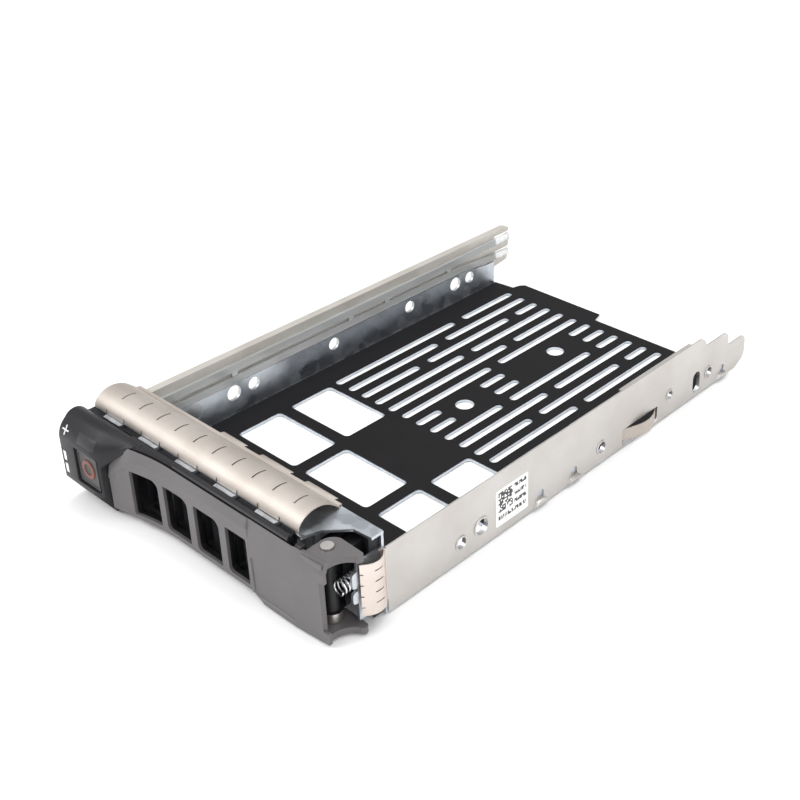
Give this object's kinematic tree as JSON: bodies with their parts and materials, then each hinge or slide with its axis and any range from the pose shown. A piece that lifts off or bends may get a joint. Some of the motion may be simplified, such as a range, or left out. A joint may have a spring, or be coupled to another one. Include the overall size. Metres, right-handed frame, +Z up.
{
  "type": "hot swap drive caddy",
  "caption": "Sheet-metal drive carrier with side rails, light guide, sprung grounding strips and a plastic bezel with swinging vented handle and push-button latch.",
  "frame": {"origin": "middle of the tray's underside, half way between the side rails", "axes": "+Y from the bezel to the connector end, +X to the right seen from the bezel, +Z up"},
  "size_m": [0.1105, 0.1936, 0.0305],
  "materials": {
    "galvanised_steel": "zinc-coated sheet, soft sheen",
    "black_film": "matt black insulating film",
    "stainless_rail": "rolled stainless strip, satin",
    "rivet_steel": "plated steel",
    "clear_acrylic": "clear moulded acrylic",
    "smoked_lens": "clear lens",
    "black_abs": "fine-textured black moulding",
    "grey_abs": "fine-textured dark grey moulding",
    "nickel_pin": "nickel-plated steel",
    "copper_ring": "orange-brown painted ring",
    "spring_wire": "bright spring wire",
    "nickel_gasket": "warm nickel-plated spring strip",
    "white_label": "white film label, bare print"
  },
  "bodies": {
    "carrier": {"tray_pan": "galvanised_steel", "floor_film": "black_film", "right_rail": "stainless_rail", "left_rail": "stainless_rail", "left_rivet_front": "rivet_steel", "left_rivet_rear": "rivet_steel", "light_pipe": "clear_acrylic", "status_lens_upper": "smoked_lens", "status_lens_lower": "smoked_lens", "bezel_body": "black_abs", "handle_pin": "nickel_pin", "pin_collar": "nickel_pin", "bezel_screw_left": "rivet_steel", "bezel_screw_right": "rivet_steel", "latch_hook": "black_abs", "button_spring": "spring_wire", "handle_spring": "spring_wire", "top_emi_gasket": "nickel_gasket", "side_emi_gasket": "nickel_gasket", "ground_spring": "nickel_gasket", "rail_label": "white_label"},
    "handle": {"handle_lever": "grey_abs"},
    "button": {"release_button": "black_abs", "button_ring": "copper_ring"}
  },
  "joints": [
    {"name": "handle_hinge", "type": "hinge", "parent": "carrier", "child": "handle", "pos_m": [0.0455, -0.08315, 0], "axis": [0, 0, 1], "range_deg": [0, 40], "deforming": ["latch_hook"]},
    {"name": "button_press", "type": "slide", "parent": "carrier", "child": "button", "axis": [0, 1, 0], "range_m": [0, 0.0018], "stiffness_N_per_m": 300, "deforming": ["button_spring", "latch_hook"]}
  ]
}
